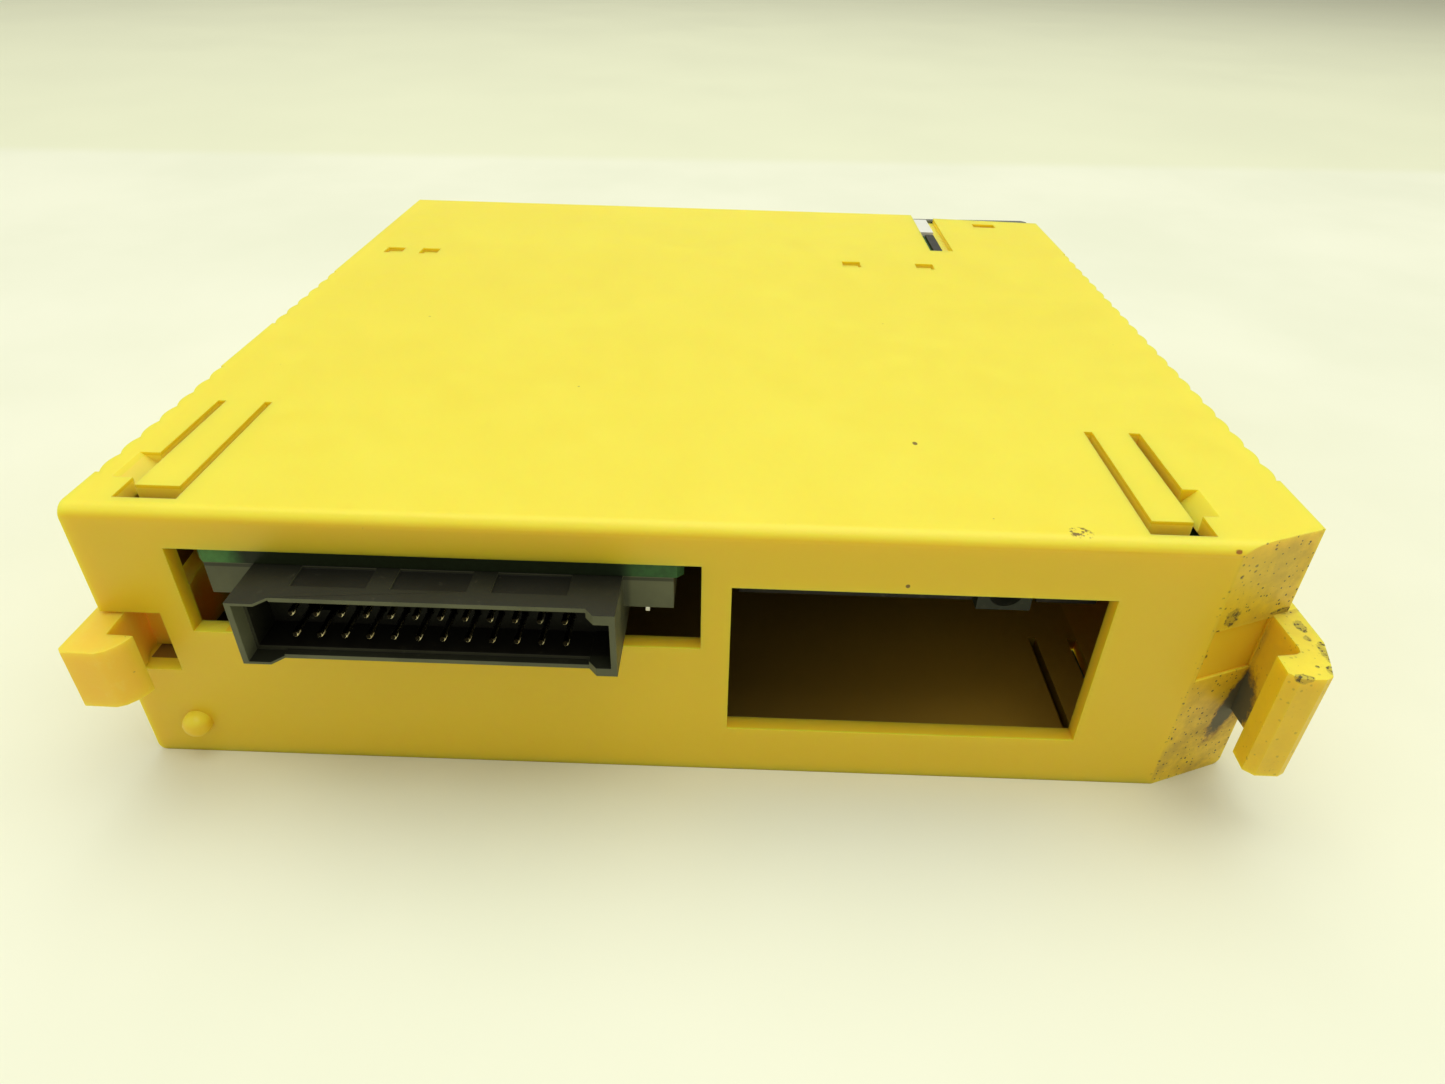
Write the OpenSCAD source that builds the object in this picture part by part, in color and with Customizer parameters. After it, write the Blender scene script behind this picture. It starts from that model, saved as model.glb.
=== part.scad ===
// Rack module of a programmable controller, lying on one of its two large sides.
//
// X runs along the case from the latch end to the hook end, Y from the back face,
// which meets the rack, to the front face with the terminals, and Z up through the
// case's thickness. The origin is the centre of the large side that it lies on.
// Inside each sub-part, positions are counted from the case's own corner, where the
// latch end, the back face and that large side meet.

/* [Case] */
// Length of the case, from the latch end to the hook end
case_len = 130; // [129:0.5:134]
// Depth of the case, from the back face to the front rim
case_depth = 124.5; // [124:0.5:130]
// Thickness of the case, which is the width it takes in the rack
case_thick = 34.6; // [34.4:0.1:36]
// Thickness of the moulded walls
wall = 2; // [1.8:0.1:2.1]
// Radius of the two long edges of the side it lies on
base_edge_r = 0.9; // [0.5:0.1:2]
// Radius of the edge between the upper large side and the back face
back_edge_r = 1.5; // [0.5:0.25:2]
// Length of the corner cut at the hook end, along the back face
corner_cut_x = 9.7; // [8:0.1:10]
// Depth of the corner cut at the hook end, along the end wall
corner_cut_y = 3.9; // [3:0.1:4.5]

/* [Grip ribs] */
// Distance from one grip rib to the next
rib_pitch = 4.06; // [3.9:0.02:4.1]
// Height of the grip ribs
rib_height = 0.45; // [0.2:0.05:0.6]

/* [Backplane connector] */
// Number of pins in each of the two rows
header_columns = 12; // [8:1:12]
// Distance from one pin to the next
header_pitch = 2.54; // [2.5:0.01:2.54]
// How far the connector stands out of the back face
header_reach = 6.5; // [6:0.1:8]

/* [Terminals] */
// Number of screws in each of the two rows of the terminal block
terminal_columns = 10; // [6:1:10]
// Distance from one terminal screw to the next in its row
terminal_pitch = 8; // [7.6:0.1:8]

/* [Latch] */
// Radius of the steel pin that the latch lever turns on
latch_pin_r = 1; // [0.8:0.1:1]

/* [Hidden] */

$fn = 48;
eps = 0.01;

// Colours
housing_yellow = [0.93, 0.78, 0.16];
lever_yellow = [0.96, 0.80, 0.24];
board_green = [0.10, 0.38, 0.20];
moulding_black = [0.12, 0.13, 0.12];
contact_gold = [0.85, 0.66, 0.25];
plated_steel = [0.75, 0.75, 0.73];

// Hollow of the case
inner_x1 = wall;
inner_x2 = case_len - wall;
inner_z1 = wall;
inner_z2 = case_thick - wall;
mid_z = case_thick / 2;

// Windows in the back wall, as [low X, high X, low Z, high Z]
bus_window = [9.6, 65.6, 18.8, 29.9];
open_window = [68.8, case_len - 20.7, 6.8, 27.3];

// Snap tongues cut into both large sides, as
// [slot's low X, tongue's low X, tongue's high X, slot's high X, slot's near Y, tongue's near Y, far Y]
latch_tongue = [4.6, 5.6, 10.4, 11.3, 2.25, 4.8, 25.35];
hook_tongue = [
    case_len - 18.85, case_len - 17.8, case_len - 13.4, case_len - 12,
    1.75, 4.35, 24.55
];
// Tool pockets beside the tongues, as [X at the surface, X at the slot, low Y, high Y]
latch_pocket = [2.3, 4.6, 6.3, 11.8];
hook_pocket = [case_len - 10.2, case_len - 12, 5.6, 11.2];

// Catch holes in both large sides, which hold the snap arms of the front frame
catch_x = [4.55, 10.85, 87.05, 100.25];
catch_w = 3.2;
catch_y1 = 87.3;
catch_y2 = 90.4;

// Display bay at the hook end of the front
bay_x = case_len - 25.5;
slit_w = 3;
step_w = 1.3;
slit_y = 98.9;
bay_front_y1 = case_depth - 2.3;
bay_front_y2 = case_depth - 3.7;

// Catch hole beside the display bay, as [low X, high X, low Y, high Y]
bay_catch = [case_len - 13.8, case_len - 9.4, case_depth - 8.2, case_depth - 5.8];

// Main board, with its component side down
board_z1 = 28.15;
board_t = 1.6;
board_z2 = board_z1 + board_t;
board_x1 = inner_x1 + 0.5;
board_x2 = inner_x2 - 0.5;
board_y1 = 6;
board_y2 = case_depth - 18.6;
board_tongue_x1 = 12.5;
board_tongue_x2 = 63.7;
board_tongue_y = 0.25;

// Backplane connector, counted from its own middle
header_x = 37.9;
header_shroud_w = (header_columns - 1) * header_pitch + 10.9;
header_flange_w = header_shroud_w + 10.7;
header_floor_y = -0.4;
header_z1 = 20.2;
header_pin_z = [23.15, 23.15 + header_pitch];
header_pin_r = 0.31;

// Middle of the fuse and its holder
fuse_x = 99.9;

// Front frame
frame_gap = 0.2;
frame_t = 1.6;
frame_y1 = case_depth - 20.5;
frame_y2 = case_depth - 6;
frame_x1 = inner_x1 + frame_gap;
frame_x2 = inner_x2 - frame_gap;
frame_z1 = inner_z1 + frame_gap;
frame_z2 = inner_z2 - frame_gap;
divider_x = bay_x - 1.6;

// Terminal block, between the frame's end and its divider
block_x1 = frame_x1 + frame_t + 0.3;
block_x2 = divider_x - 0.3;
block_z1 = frame_z1 + frame_t + 0.3;
block_z2 = frame_z2 - frame_t - 0.3;
block_y1 = case_depth - 16.1;
block_y2 = case_depth - 10.5;
block_mid_z = (block_z1 + block_z2) / 2;
barrier_y = case_depth - 3.7;
terminal_x0 = 14.9;
row_z = [block_mid_z - 6.7, block_mid_z + 6.7];
blade_z = [block_mid_z - 3.2, block_mid_z + 3.2];
row_shift = terminal_pitch / 2;
block_screw_x = [block_x1 + 3.1, block_x2 - 3];
block_screw_r = 1.5;

// Hinge of the terminal cover
hinge_y = case_depth - 3.2;
hinge_z = block_z2 - 1.3;
hinge_r = 1;
hinge_gap = 0.08;
hinge_lug_r = 1.9;
hinge_lug_w = 1.9;
cover_y1 = case_depth - 2.5;
cover_y2 = case_depth - 1.3;

// Latch lever and its pin
lever_z1 = 13.3;
lever_z2 = 20.9;
lever_pin_x = 6;
lever_pin_y = 22;
lever_pin_gap = 0.05;
lever_eye_r = 2.6;
lever_window_y1 = 37.8;
lever_window_y2 = 48.2;
notch_z1 = 13;
notch_z2 = 21.2;
notch_x = 6.6;
notch_y = 9.6;
lug_t = 2.4;
spring_wire_r = 0.35;
spring_coil_r = 1.9;
spring_turns = 4;

// Hook at the other end, counted from the end wall's outer face
hook_z1 = 9.8;
hook_z2 = 23.8;

// Moves children from the case's corner to the part's origin
module from_corner() {
    translate([-case_len / 2, -case_depth / 2, 0]) children();
}

// Block between two opposite corners
module block(low, high) {
    translate(low) cube(high - low);
}

// Straight rod of radius r along Y
module rod_y(r, y1, y2) {
    translate([0, y1, 0]) rotate([-90, 0, 0]) cylinder(r = r, h = y2 - y1);
}

// Straight rod of radius r along X
module rod_x(r, x1, x2) {
    translate([x1, 0, 0]) rotate([0, 90, 0]) cylinder(r = r, h = x2 - x1);
}

// Area between a square corner and the arc that rounds it
module corner_waste(r) {
    difference() {
        translate([-1, -1]) square(r + 1);
        translate([r, r]) circle(r);
    }
}

// Places children at each column of one row of the terminal block
module each_terminal(row) {
    for (i = [0:terminal_columns - 1])
        translate([terminal_x0 + row * row_shift + i * terminal_pitch, 0, 0]) children();
}

// Places children at each pin of one row of the backplane connector
module each_pin() {
    for (i = [0:header_columns - 1])
        translate([header_x + (i - (header_columns - 1) / 2) * header_pitch, 0, 0]) children();
}

// Repeats children on both large sides of the case
module both_sides() {
    children();
    translate([0, 0, case_thick]) mirror([0, 0, 1]) children();
}

// Plan of one row of grip ribs, with its crests on X = 0 and the waste beyond them
module rib_waste(y1, count) {
    rib_r = (pow(rib_pitch / 2, 2) + pow(rib_height, 2)) / (2 * rib_height);
    difference() {
        translate([-1, y1]) square([1 + rib_height, count * rib_pitch]);
        for (i = [0:count - 1])
            translate([rib_r, y1 + (i + 0.5) * rib_pitch]) circle(rib_r, $fn = 96);
    }
}

// Plan of the case's outside
module case_plan() {
    difference() {
        polygon([
            [0, 0], [case_len - corner_cut_x, 0], [case_len, corner_cut_y],
            [case_len, case_depth], [0, case_depth]
        ]);
        rib_waste(7.2, 7);
        rib_waste(51.5, 6);
        translate([case_len, 0]) mirror([1, 0]) rib_waste(13.85, 21);
    }
}

// Plan of the case's hollow
module hollow_plan() {
    polygon([
        [inner_x1, wall], [case_len - corner_cut_x - 0.4, wall],
        [inner_x2, corner_cut_y + wall * 0.75], [inner_x2, case_depth + 1],
        [inner_x1, case_depth + 1]
    ]);
}

// U-shaped slot that leaves a snap tongue, through the large side at Z = 0
module tongue_slot(t) {
    difference() {
        block([t[0], t[4], -1], [t[3], t[6], wall + 1]);
        block([t[1], t[5], -2], [t[2], t[6] + 1, wall + 2]);
    }
}

// Sloping pocket that lets a tool reach the tongue
module tool_pocket(p) {
    translate([0, p[3], 0]) rotate([90, 0, 0]) linear_extrude(p[3] - p[2])
        polygon([[p[0], -eps], [p[1], -eps], [p[1], wall]]);
}

// J-shaped hook that hangs the module on the rack
module rack_hook() {
    translate([case_len, 0, hook_z1]) linear_extrude(hook_z2 - hook_z1) polygon([
        [1.3, 8.5], [1.3, -1.3], [0.15, -4.95], [-0.55, -6.75], [-1.4, -7.25],
        [-3.9, -7.25], [-4.9, -6.4], [-4.75, -3.75], [-2.6, -3.4], [-2.05, -3.05],
        [-1.85, -2.4], [-2, 3.6], [-0.1, 5.4], [-0.1, 12.5]
    ]);
}

// Round-nosed boss that finds its hole in the rack
module locating_boss() {
    boss_r = 1.6;
    translate([6.2, 0, 5]) rotate([90, 0, 0]) rotate_extrude() polygon([
        [0, -0.5], [boss_r, -0.5], [boss_r, 0.5], [boss_r * 0.96, 0.9], [boss_r * 0.85, 1.28],
        [boss_r * 0.68, 1.58], [boss_r * 0.46, 1.79], [boss_r * 0.22, 1.91], [0, 1.95]
    ]);
}

// Two rails on each end wall that guide the main board's edges
module board_rails() {
    rail_w = 1.6;
    rail_h = 1.3;
    for (z = [board_z1 - 0.15 - rail_h, board_z2 + 0.15]) {
        block([inner_x1 - 0.1, 29, z], [inner_x1 + rail_w, 84, z + rail_h]);
        block([inner_x2 - rail_w, 29, z], [inner_x2 + 0.1, 84, z + rail_h]);
    }
}

// Two lugs on the latch end's wall that hold the latch pin
module latch_lugs() {
    lug_r = 2.6;
    gap = 0.3;
    spring_room = spring_turns * spring_wire_r * 2 + 0.5;
    for (z = [lever_z1 - spring_room - lug_t, lever_z2 + gap])
        difference() {
            union() {
                translate([lever_pin_x, lever_pin_y, z]) cylinder(r = lug_r, h = lug_t);
                block([inner_x1 - 0.1, lever_pin_y - lug_r, z],
                      [lever_pin_x, lever_pin_y + lug_r, z + lug_t]);
            }
            translate([lever_pin_x, lever_pin_y, z - 1])
                cylinder(r = latch_pin_r + 0.01, h = lug_t + 2);
        }
}

// One-piece case: two large sides, back wall and end walls, open at the front
module case_shell() {
    color(housing_yellow) from_corner() {
        difference() {
            union() {
                difference() {
                    linear_extrude(case_thick) case_plan();
                    translate([0, 0, inner_z1]) linear_extrude(inner_z2 - inner_z1) hollow_plan();
                    // Rounded long edges
                    translate([0, case_depth + 1, 0]) rotate([90, 0, 0])
                        linear_extrude(case_depth + 2) {
                            corner_waste(base_edge_r);
                            translate([case_len, 0]) mirror([1, 0]) corner_waste(base_edge_r);
                        }
                    translate([-1, 0, case_thick]) rotate([90, 0, 90])
                        linear_extrude(case_len + 2) mirror([0, 1]) corner_waste(back_edge_r);
                }
                rack_hook();
                locating_boss();
                board_rails();
                latch_lugs();
                // Ledge under the latch lever, behind the corner notch
                block([inner_x1 - 0.1, wall - 0.1, notch_z1 - 1.5], [notch_x + 1, 4.3, notch_z1]);
            }
            // Windows in the back wall
            block([bus_window[0], -1, bus_window[2]], [bus_window[1], wall + 1, bus_window[3]]);
            block([open_window[0], -1, open_window[2]], [open_window[1], wall + 1, open_window[3]]);
            // Corner notch and side window for the latch lever
            block([-1, -1, notch_z1], [notch_x, wall + eps, notch_z2]);
            block([-1, -1, notch_z1], [wall + eps, notch_y, notch_z2]);
            block([-1, lever_window_y1, notch_z1], [wall + 1, lever_window_y2, notch_z2]);
            both_sides() {
                tongue_slot(latch_tongue);
                tongue_slot(hook_tongue);
                tool_pocket(latch_pocket);
                tool_pocket(hook_pocket);
                for (x = catch_x)
                    block([x, catch_y1, -1], [x + catch_w, catch_y2, wall + 1]);
                block([bay_catch[0], bay_catch[2], -1], [bay_catch[1], bay_catch[3], wall + 1]);
            }
            // Shallow recess beside the hook's root
            translate([case_len, 0, 16.4]) linear_extrude(7.1)
                polygon([[-9.4, -1], [-9.4, 0.55], [-2.1, 3.49], [-2.1, -1]]);
            // Slit and step beside the display bay, in the upper side only
            block([bay_x, slit_y, inner_z2 - 1], [bay_x + slit_w, case_depth + 1, case_thick + 1]);
            block([bay_x, slit_y, case_thick - 1],
                  [bay_x + slit_w + step_w, case_depth + 1, case_thick + 1]);
            // Rim of the display bay, set back for its window
            translate([0, 0, -1]) linear_extrude(case_thick + 2) polygon([
                [bay_x, bay_front_y1], [bay_x + slit_w + step_w, bay_front_y1],
                [case_len + 1, bay_front_y2], [case_len + 1, case_depth + 1],
                [bay_x, case_depth + 1]
            ]);
        }
    }
}

// Snap arm of the front frame, with the catch that fills a hole of the case
module snap_arm(x) {
    arm_w = 2.8;
    arm_z = 3.6;
    block([x, catch_y1 + 0.3, frame_z1], [x + arm_w, frame_y1 + 1, arm_z]);
    translate([x, 0, 0]) rotate([90, 0, 90]) linear_extrude(arm_w) polygon([
        [catch_y1 + 0.3, frame_z1 + 0.1], [catch_y2 - 0.5, frame_z1 + 0.1],
        [catch_y2 - 0.5, 0.55], [catch_y1 + 1.3, 0.55]
    ]);
}

// Frame in the front opening: terminal bay, divider and display bay
module front_frame() {
    seat_t = 1.6;
    seat_x1 = terminal_x0 - 4.2;
    seat_x2 = terminal_x0 + row_shift + (terminal_columns - 1) * terminal_pitch + 4.2;
    boss_r = 3.1;
    color(housing_yellow) from_corner() difference() {
        union() {
            difference() {
                block([frame_x1, frame_y1, frame_z1], [frame_x2, frame_y2, frame_z2]);
                // Terminal bay and display bay
                block([frame_x1 + frame_t, frame_y1 + seat_t, frame_z1 + frame_t],
                      [divider_x, frame_y2 + 1, frame_z2 - frame_t]);
                block([bay_x, frame_y1 - 1, frame_z1 + frame_t],
                      [frame_x2 - frame_t, frame_y2 + 1, frame_z2 - frame_t]);
                // Room for the socket and for the main board
                block([seat_x1, frame_y1 - 1, block_mid_z - 6.4],
                      [seat_x2, frame_y1 + seat_t + 1, frame_z2 - frame_t]);
                block([frame_x1 - 1, frame_y1 - 1, board_z1 - 0.1],
                      [frame_x2 + 1, board_y2 + 0.3, board_z2 + 0.1]);
                // Slot under the slit of the case, and room over the display board
                block([bay_x, frame_y1 - 1, frame_z2 - frame_t - 1],
                      [bay_x + slit_w, frame_y2 + 1, frame_z2 + 1]);
                block([bay_x, frame_y1 - 1, frame_z2 - frame_t - 1],
                      [frame_x2 - frame_t, case_depth - 13.2, frame_z2 + 1]);
            }
            for (x = block_screw_x)
                translate([x, 0, block_mid_z]) rod_y(boss_r, frame_y1 - 7, frame_y1 + seat_t);
            // Posts under the main board
            for (x = block_screw_x)
                block([x - 2.4, frame_y1 - 6.4, board_z1 - 5.2],
                      [x + 2.4, frame_y1 + eps, board_z1 - 0.02]);
            both_sides() {
                for (x = catch_x) snap_arm(x + 0.2);
                block([bay_catch[0] + 0.2, bay_catch[2] + 0.2, 0.5],
                      [bay_catch[1] - 0.2, bay_catch[3] - 0.3, frame_z1 + 0.1]);
            }
        }
        for (x = block_screw_x) {
            translate([x, 0, block_mid_z]) rod_y(2.32, frame_y1 - 8, frame_y1 + seat_t + 1);
            translate([x, frame_y1 - 3.6, board_z1 - 6]) cylinder(r = 1.05, h = 8);
        }
    }
}

// Brass inserts for the two screws of the terminal block
module threaded_inserts() {
    color(contact_gold) from_corner() for (x = block_screw_x)
        translate([x, 0, block_mid_z]) difference() {
            rod_y(2.3, frame_y1 - 6.8, frame_y1 + 1.4);
            rod_y(block_screw_r + 0.1, frame_y1 - 8, frame_y1 + 2);
        }
}

// Plan of the display window, offset forward from the case's set-back rim
module window_plan(grow) {
    polygon([
        [bay_x + 0.2, bay_front_y1 + 0.2], [bay_x + slit_w + step_w, bay_front_y1 + 0.2],
        [case_len - 1.2, bay_front_y2 + 0.35], [case_len - 1.2, case_depth - 1.1 + grow],
        [case_len - 2.2, case_depth - 0.2 + grow], [bay_x + 0.2, case_depth - 1.2 + grow]
    ]);
}

// Smoked window over the status lamps
module led_window() {
    top_gap = 0.4;
    skirt_t = 1.2;
    x1 = bay_x + 0.3;
    x2 = frame_x2 - frame_t - 0.3;
    z1 = frame_z1 + frame_t + 0.2;
    z2 = frame_z2 - frame_t - 0.2;
    color([0.16, 0.15, 0.14]) from_corner() {
        difference() {
            translate([0, 0, top_gap]) linear_extrude(case_thick - 2 * top_gap) window_plan(0);
            translate([0, 0, z1 + skirt_t]) linear_extrude(z2 - z1 - 2 * skirt_t) polygon([
                [x1 + skirt_t, case_depth - 9], [x2 - skirt_t, case_depth - 9],
                [x2 - skirt_t, case_depth - 2], [x1 + skirt_t, case_depth - 3]
            ]);
        }
        difference() {
            block([x1, case_depth - 8.4, z1], [x2, bay_front_y1 + 0.7, z2]);
            block([x1 + skirt_t, case_depth - 9, z1 + skirt_t],
                  [x2 - skirt_t, case_depth - 2, z2 - skirt_t]);
        }
    }
}

// White block of light pipes between the lamps and the window
module light_guide() {
    x1 = bay_x + 1.8;
    x2 = frame_x2 - frame_t - 1.8;
    z1 = frame_z1 + frame_t + 1.8;
    z2 = frame_z2 - frame_t - 1.8;
    y1 = case_depth - 11.9;
    y2 = case_depth - 3.9;
    tab_z = frame_z2 - frame_t + 0.2;
    color([0.92, 0.93, 0.88]) from_corner() {
        difference() {
            block([x1, y1, z1], [x2, y2, z2]);
            each_lamp() block([-1.05, y1 - 1, -1.05], [1.05, y2 + 1, 1.05]);
        }
        // Tab that shows in the slit of the case, and its neck
        block([bay_x + 0.15, y1, tab_z], [bay_x + slit_w - 0.15, bay_front_y1, case_thick - 0.3]);
        block([bay_x + 0.2, y1, z2 - 1.6], [x1 + 0.5, y1 + 3, tab_z + 0.1]);
    }
}

// Places children at each of the sixteen status lamps
module each_lamp() {
    for (i = [0:1])
        for (j = [0:7])
            translate([bay_x + 7.6 + i * 8, 0, mid_z + (j - 3.5) * 2.9]) children();
}

// Sixteen status lamps
module status_leds() {
    y1 = case_depth - 13.6;
    color([0.85, 0.88, 0.80]) from_corner() each_lamp() {
        block([-0.8, y1, -0.8], [0.8, y1 + 1.1, 0.8]);
        rod_y(0.6, y1 + 1, y1 + 1.5);
    }
}

// Small upright board that carries the lamps
module display_board() {
    color(board_green) from_corner() difference() {
        block([bay_x + 1.3, case_depth - 14.8, 5.6],
              [frame_x2 - frame_t - 0.5, case_depth - 13.6, inner_z2 - 0.3]);
        block([bay_x, case_depth - 16, board_z2 + 0.15], [bay_x + slit_w, case_depth - 13, case_thick]);
    }
}

// Narrow upright board under the slit, which joins the display to the main board
module riser_board() {
    color(board_green) from_corner()
        block([bay_x + 0.1, slit_y + 0.4, board_z2 + 0.02],
              [bay_x + 1.1, case_depth - 12.2, case_thick - 1]);
}

// Connector on the riser board, with its body behind the display board
module display_connector() {
    color(moulding_black) from_corner() difference() {
        union() {
            block([bay_x + 1.12, case_depth - 20.3, board_z2 + 0.02],
                  [bay_x + 20, case_depth - 14.82, inner_z2 - 0.4]);
            block([bay_x + 1.12, slit_y + 0.5, board_z2 + 0.3],
                  [bay_x + slit_w - 0.2, case_depth - 12.6, case_thick - 0.6]);
        }
        for (i = [0:5])
            translate([bay_x + 5.4 + i * header_pitch, 0, 0])
                block([-0.4, case_depth - 18.6, board_z2 + 1], [0.4, case_depth - 17.2, inner_z2 + 1]);
    }
}

// Main circuit board, with the tongue that carries the backplane connector
module main_board() {
    color(board_green) from_corner() difference() {
        translate([0, 0, board_z1]) linear_extrude(board_t) polygon([
            [board_x1, board_y1], [board_tongue_x1, board_y1],
            [board_tongue_x1, board_tongue_y + 0.7], [board_tongue_x1 + 0.7, board_tongue_y],
            [board_tongue_x2 - 0.7, board_tongue_y], [board_tongue_x2, board_tongue_y + 0.7],
            [board_tongue_x2, board_y1], [board_x2, board_y1],
            [board_x2, board_y2], [board_x1, board_y2]
        ]);
        for (x = block_screw_x)
            translate([x, frame_y1 - 3.6, board_z1 - 1]) cylinder(r = 1.35, h = board_t + 2);
        // Notches around the snap tongues
        for (t = [latch_tongue, hook_tongue])
            translate([0, 0, board_z1 - 1])
                block([t[1] - 0.4, board_y1 - 1, 0], [t[2] + 0.4, board_y1 + 1.6, board_t + 2]);
    }
}

// Screws that hold the main board to the front frame
module board_screws() {
    color(plated_steel) from_corner() for (x = block_screw_x)
        translate([x, frame_y1 - 3.6, 0]) difference() {
            union() {
                translate([0, 0, board_z2]) cylinder(r = 2.3, h = 1.2);
                translate([0, 0, board_z1 - 4.6]) cylinder(r = 1, h = board_t + 4.7);
            }
            for (a = [0, 90])
                rotate([0, 0, a]) block([-1.5, -0.25, board_z2 + 0.5], [1.5, 0.25, board_z2 + 2]);
        }
}

// Shrouded plug of the rack's bus, soldered under the board's tongue
module bus_connector() {
    half_s = header_shroud_w / 2;
    half_f = header_flange_w / 2;
    front = -header_reach;
    rim_y = front + 1.1;
    lead_y = front + 2;
    side_t = 0.65;
    skin_t = 0.55;
    ear_w = [3.9, 3.1];
    top = board_z1 - 0.02;
    color(moulding_black) from_corner() translate([header_x, 0, 0]) difference() {
        union() {
            // Body and flanges under the board
            block([-half_f, 0.35, 24.1], [half_f, 9, top]);
            block([-half_s, 0, header_z1], [half_s, 7.5, top]);
            // Shroud, whose two ends reach further out than its long walls
            translate([0, 0, header_z1]) linear_extrude(top - header_z1) polygon([
                [-half_s, 0.4], [-half_s, front], [-half_s + ear_w[0] - 1, front],
                [-half_s + ear_w[0], rim_y], [half_s - ear_w[1], rim_y],
                [half_s - ear_w[1] + 0.9, front], [half_s, front], [half_s, 0.4]
            ]);
        }
        // Cavity, wider at its mouth, with a thinner end and a thicker end to suit one way round
        block([-half_s + side_t, front - 1, header_z1 + skin_t],
              [half_s - ear_w[1], lead_y, top - skin_t]);
        block([-half_s + side_t, front - 1, header_z1 + skin_t - 0.2],
              [-half_s + ear_w[0], lead_y, top - skin_t + 0.2]);
        block([-half_s + side_t + 0.3, lead_y - eps, header_z1 + skin_t + 0.35],
              [half_s - ear_w[1], header_floor_y, top - skin_t - 0.35]);
        block([half_s - ear_w[1] - eps, front - 1, header_z1 + skin_t + 0.5],
              [half_s - side_t, header_floor_y, top - skin_t - 0.65]);
        // Shallow recesses in the upper face
        for (i = [-1:1])
            translate([i * half_s * 0.53, 0, 0])
                block([-3.9, -3.3, top - 0.3], [3.9, 0.2, top + 1]);
        // Passages for the pins
        for (z = header_pin_z)
            each_pin_local() block([-header_pin_r - 0.01, -2, z - header_pin_r - 0.01],
                                   [header_pin_r + 0.01, 12, z + header_pin_r + 0.01]);
    }
}

// The pins' columns counted from the connector's middle
module each_pin_local() {
    translate([-header_x, 0, 0]) each_pin() children();
}

// Gold pins, straight and round-nosed in the shroud and bent up to the board
module bus_pins() {
    r = header_pin_r;
    color(contact_gold) from_corner() each_pin() for (row = [0, 1]) {
        z = header_pin_z[row];
        tip_y = row == 0 ? -5.05 : -4.8;
        bend_y = 10.4 + (1 - row) * header_pitch;
        translate([0, 0, z]) rotate([-90, 0, 0]) rotate_extrude() polygon([
            [0, tip_y], [r * 0.45, tip_y + 0.06], [r * 0.8, tip_y + 0.22], [r, tip_y + 0.5],
            [r, 0.5], [0, 0.5]
        ]);
        block([-r, 0.4, z - r], [r, bend_y, z + r]);
        block([-r, bend_y - 2 * r, z - r], [r, bend_y, board_z1]);
    }
}

// Two metal pegs that lock the backplane connector to the board
module board_locks() {
    color(plated_steel) from_corner() for (x = [header_x - header_flange_w / 2 + 2.9,
                                                header_x + header_flange_w / 2 - 2.9])
        block([x - 0.25, 1.2, 22.9], [x + 0.25, 2, 24.1]);
}

// Flat package with leads on two sides, hanging under the board
module flat_package(w, d, h, leads) {
    top = board_z1 - 0.02;
    block([-w / 2, -d / 2, top - h - 0.2], [w / 2, d / 2, top - 0.2]);
    for (i = [0:leads - 1])
        for (s = [-1, 1])
            translate([(i - (leads - 1) / 2) * w / leads, s * (d / 2 + 0.5), 0])
                block([-0.2, -0.55, top - h / 2 - 0.2], [0.2, 0.55, top]);
}

// Bus controller chip
module bus_controller() {
    color(moulding_black) from_corner() translate([38, 32, 0]) {
        flat_package(14, 14, 2.2, 11);
        rotate([0, 0, 90]) flat_package(14, 14, 2.2, 11);
    }
}

// Bus transceiver chips between the connector and the controller
module bus_transceivers() {
    color(moulding_black) from_corner() for (x = [20, 56])
        translate([x, 24, 0]) flat_package(12.8, 7.5, 2.3, 10);
}

// One optocoupler per channel, in two rows
module optocouplers() {
    color([0.20, 0.20, 0.20]) from_corner() for (row = [0, 1])
        for (i = [0:7])
            translate([14 + i * 10.4, 56 + row * 12, 0]) flat_package(4.6, 6.4, 3.4, 2);
}

// Output driver packages near the terminals
module output_drivers() {
    color(moulding_black) from_corner() for (i = [0:3])
        translate([18 + i * 20, 84, 0]) flat_package(12, 7.5, 2.6, 8);
}

// Upright resistor networks along the board's back edge
module resistor_networks() {
    color([0.14, 0.13, 0.12]) from_corner() for (span = [[69.5, fuse_x - 3.6], [fuse_x + 3.5, 110.4]])
        block([span[0], 6.6, 21.7], [span[1], 9, board_z1 - 0.5]);
}

// Fuse holder near the board's back edge
module fuse_holder() {
    color([0.62, 0.64, 0.60]) from_corner() translate([fuse_x, 7.4, 0]) difference() {
        block([-3.1, -0.8, 20.6], [3.1, 21, board_z1 - 0.02]);
        block([-2.4, 2.2, 19], [2.4, 18, board_z1 - 2]);
        translate([0, 0, 23.2]) rod_y(2.05, -1, 19.4);
    }
}

// Cartridge fuse
module fuse() {
    color([0.80, 0.80, 0.74]) from_corner() translate([fuse_x, 7.4, 23.2]) {
        rod_y(2, 1.2, 5.4);
        rod_y(1.85, 5.2, 14.8);
        rod_y(2, 14.6, 19);
    }
}

// Electrolytic capacitors, hanging under the board
module capacitors() {
    color([0.25, 0.27, 0.32]) from_corner() for (p = [[78, 22], [78, 34], [116, 40]])
        translate([p[0], p[1], board_z1 - 10.3]) {
            cylinder(r = 4, h = 9.4);
            translate([0, 0, 9.3]) cylinder(r = 3.8, h = 0.98);
        }
}

// Rows of chip resistors
module chip_resistors() {
    top = board_z1 - 0.02;
    color([0.16, 0.16, 0.17]) from_corner() for (row = [0, 1])
        for (i = [0:15])
            translate([14 + i * 5.2, 47 + row * 29, 0])
                block([-0.8, -1.6, top - 0.7], [0.8, 1.6, top]);
}

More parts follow.
